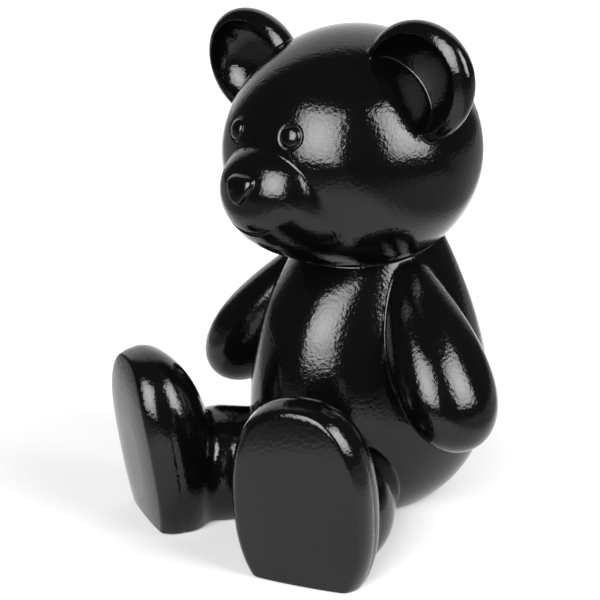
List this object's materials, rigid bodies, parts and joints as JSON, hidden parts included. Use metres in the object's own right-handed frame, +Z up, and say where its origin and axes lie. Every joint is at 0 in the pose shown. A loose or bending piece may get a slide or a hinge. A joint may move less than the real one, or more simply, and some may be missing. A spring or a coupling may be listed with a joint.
{
  "type": "bear sculpture",
  "caption": "Seated teddy-bear figure in glossy black lacquer with splayed legs and flat soles, cast in one piece with a flat underside, for standing on a floor or shelf.",
  "frame": {"origin": "on the floor, under the centre of the bounding box", "axes": "+Z up; the bear faces -Y; +X is the bear's left"},
  "size_m": [0.436, 0.4531, 0.6001],
  "materials": {
    "black_lacquer": "high gloss sprayed lacquer with a fine orange-peel grain"
  },
  "bodies": {
    "root": {"bear": "black_lacquer"}
  },
  "joints": []
}
